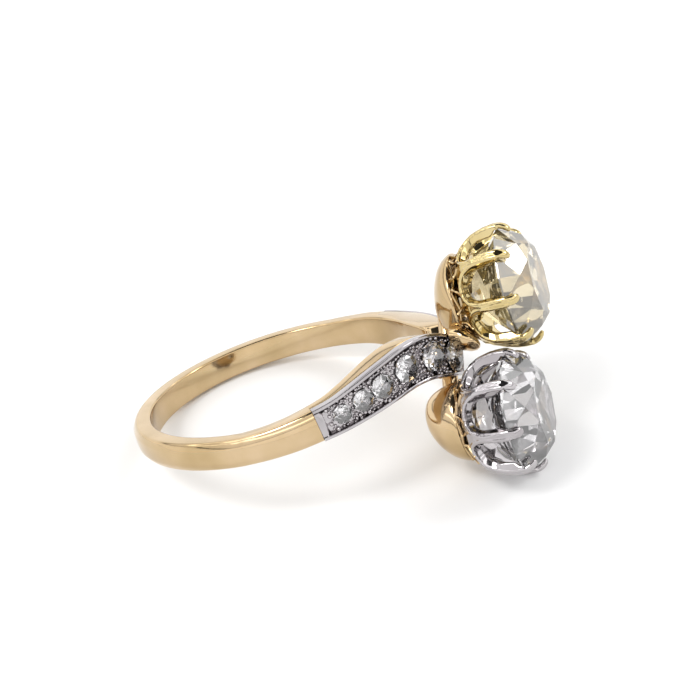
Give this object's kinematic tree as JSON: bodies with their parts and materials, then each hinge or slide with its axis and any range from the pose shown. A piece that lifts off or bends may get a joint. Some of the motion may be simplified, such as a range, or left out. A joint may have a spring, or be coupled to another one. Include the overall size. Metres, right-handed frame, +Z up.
{
  "type": "toi et moi ring",
  "caption": "Two-stone bypass ring with claw-set round stones side by side and stone-set tapering shoulders.",
  "frame": {"origin": "middle of the finger hole", "axes": "the ring lies on its side as it rests by itself: +Z up, +X from the finger hole towards the two-stone head, +Y towards the far shoulder"},
  "size_m": [0.0263, 0.019, 0.0122],
  "materials": {
    "rose_gold": "polished rose gold",
    "yellow_gold": "polished yellow gold",
    "platinum": "polished platinum",
    "white_diamond": "cut and polished, colourless",
    "yellow_diamond": "cut and polished, pale straw"
  },
  "bodies": {
    "root": {"shank": "rose_gold", "near_shoulder_plate": "platinum", "far_shoulder_plate": "platinum", "white_setting": "platinum", "yellow_setting": "yellow_gold", "white_stone": "white_diamond", "yellow_stone": "yellow_diamond", "near_accent_1": "white_diamond", "near_accent_2": "white_diamond", "near_accent_3": "white_diamond", "near_accent_4": "white_diamond", "near_accent_5": "white_diamond", "near_accent_6": "white_diamond", "far_accent_1": "white_diamond", "far_accent_2": "white_diamond", "far_accent_3": "white_diamond", "far_accent_4": "white_diamond", "far_accent_5": "white_diamond"}
  },
  "joints": []
}
